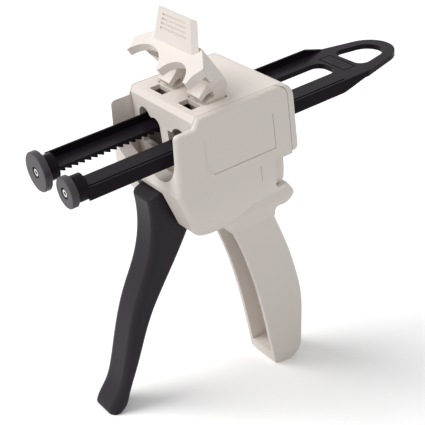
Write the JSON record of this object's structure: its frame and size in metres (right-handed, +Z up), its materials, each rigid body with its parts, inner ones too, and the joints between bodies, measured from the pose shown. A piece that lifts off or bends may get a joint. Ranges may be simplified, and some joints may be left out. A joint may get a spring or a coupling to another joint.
{
  "type": "dental dispensing tool",
  "caption": "Hand-operated dispensing tool for dental two-barrel cartridges, with a pistol grip, trigger, twin push rods, pull ring and open cartridge latch.",
  "frame": {"origin": "middle of the part's footprint, at the height it stands on", "axes": "+X forwards, the way the push discs point, +Y to the left of someone holding the grip, +Z up; the push rods slope 10.9 degrees nose-down"},
  "size_m": [0.1738, 0.051, 0.1732],
  "materials": {
    "ivory_housing": "fine satin moulding",
    "black_plastic": "satin black moulding",
    "disc_plastic": "dark satin moulding",
    "dark_grip": "soft satin dark grey",
    "rivet_metal": "bright tubular rivet",
    "pin_steel": "plain steel",
    "spring_steel": "spring wire"
  },
  "bodies": {
    "housing": {"grip_housing": "ivory_housing", "guide_block": "ivory_housing", "rear_cap": "ivory_housing", "trigger_pin": "pin_steel", "trigger_spring": "spring_steel", "holding_pawl_pin": "pin_steel", "holding_pawl_spring": "spring_steel", "release_pin": "pin_steel", "release_spring": "spring_steel", "latch_pin": "pin_steel", "latch_detent": "spring_steel"},
    "plunger": {"twin_plunger": "black_plastic", "large_disc": "disc_plastic", "small_disc": "disc_plastic", "large_disc_rivet": "rivet_metal", "small_disc_rivet": "rivet_metal"},
    "trigger": {"trigger": "dark_grip", "drive_pawl_pin": "pin_steel", "drive_pawl_spring": "spring_steel"},
    "drive_pawl": {"drive_pawl": "pin_steel"},
    "holding_pawl": {"holding_pawl": "pin_steel"},
    "release": {"release_lever": "ivory_housing"},
    "latch": {"cartridge_latch": "ivory_housing"}
  },
  "joints": [
    {"name": "plunger_slide", "type": "slide", "parent": "housing", "child": "plunger", "axis": [0.982, 0, -0.1891], "range_m": [-0.0495, 0.035]},
    {"name": "trigger_pivot", "type": "hinge", "parent": "housing", "child": "trigger", "pos_m": [0.02227, 0, 0.09487], "axis": [0, 1, 0], "range_deg": [0, 20], "stiffness_Nm_per_rad": 0.4, "springref_deg": -14.32},
    {"name": "drive_pawl_hinge", "type": "hinge", "parent": "trigger", "child": "drive_pawl", "pos_m": [0.01725, 0, 0.11111], "axis": [0, -1, 0], "range_deg": [0, 15], "stiffness_Nm_per_rad": 0.01, "springref_deg": -11.46},
    {"name": "release_hinge", "type": "hinge", "parent": "housing", "child": "release", "pos_m": [-0.01018, 0, 0.11089], "axis": [0, -1, 0], "range_deg": [0, 8], "stiffness_Nm_per_rad": 0.05, "springref_deg": -11.46},
    {"name": "holding_pawl_hinge", "type": "hinge", "parent": "housing", "child": "holding_pawl", "pos_m": [0.00398, 0, 0.11621], "axis": [0, -1, 0], "range_deg": [0, 12], "stiffness_Nm_per_rad": 0.01, "springref_deg": -11.46},
    {"name": "latch_hinge", "type": "hinge", "parent": "housing", "child": "latch", "pos_m": [0.01999, 0, 0.13747], "axis": [0, 1, 0], "range_deg": [0, 60]}
  ],
  "couplings": [
    {"joint": "holding_pawl_hinge", "follows": "release_hinge", "ratio": 1.5}
  ]
}
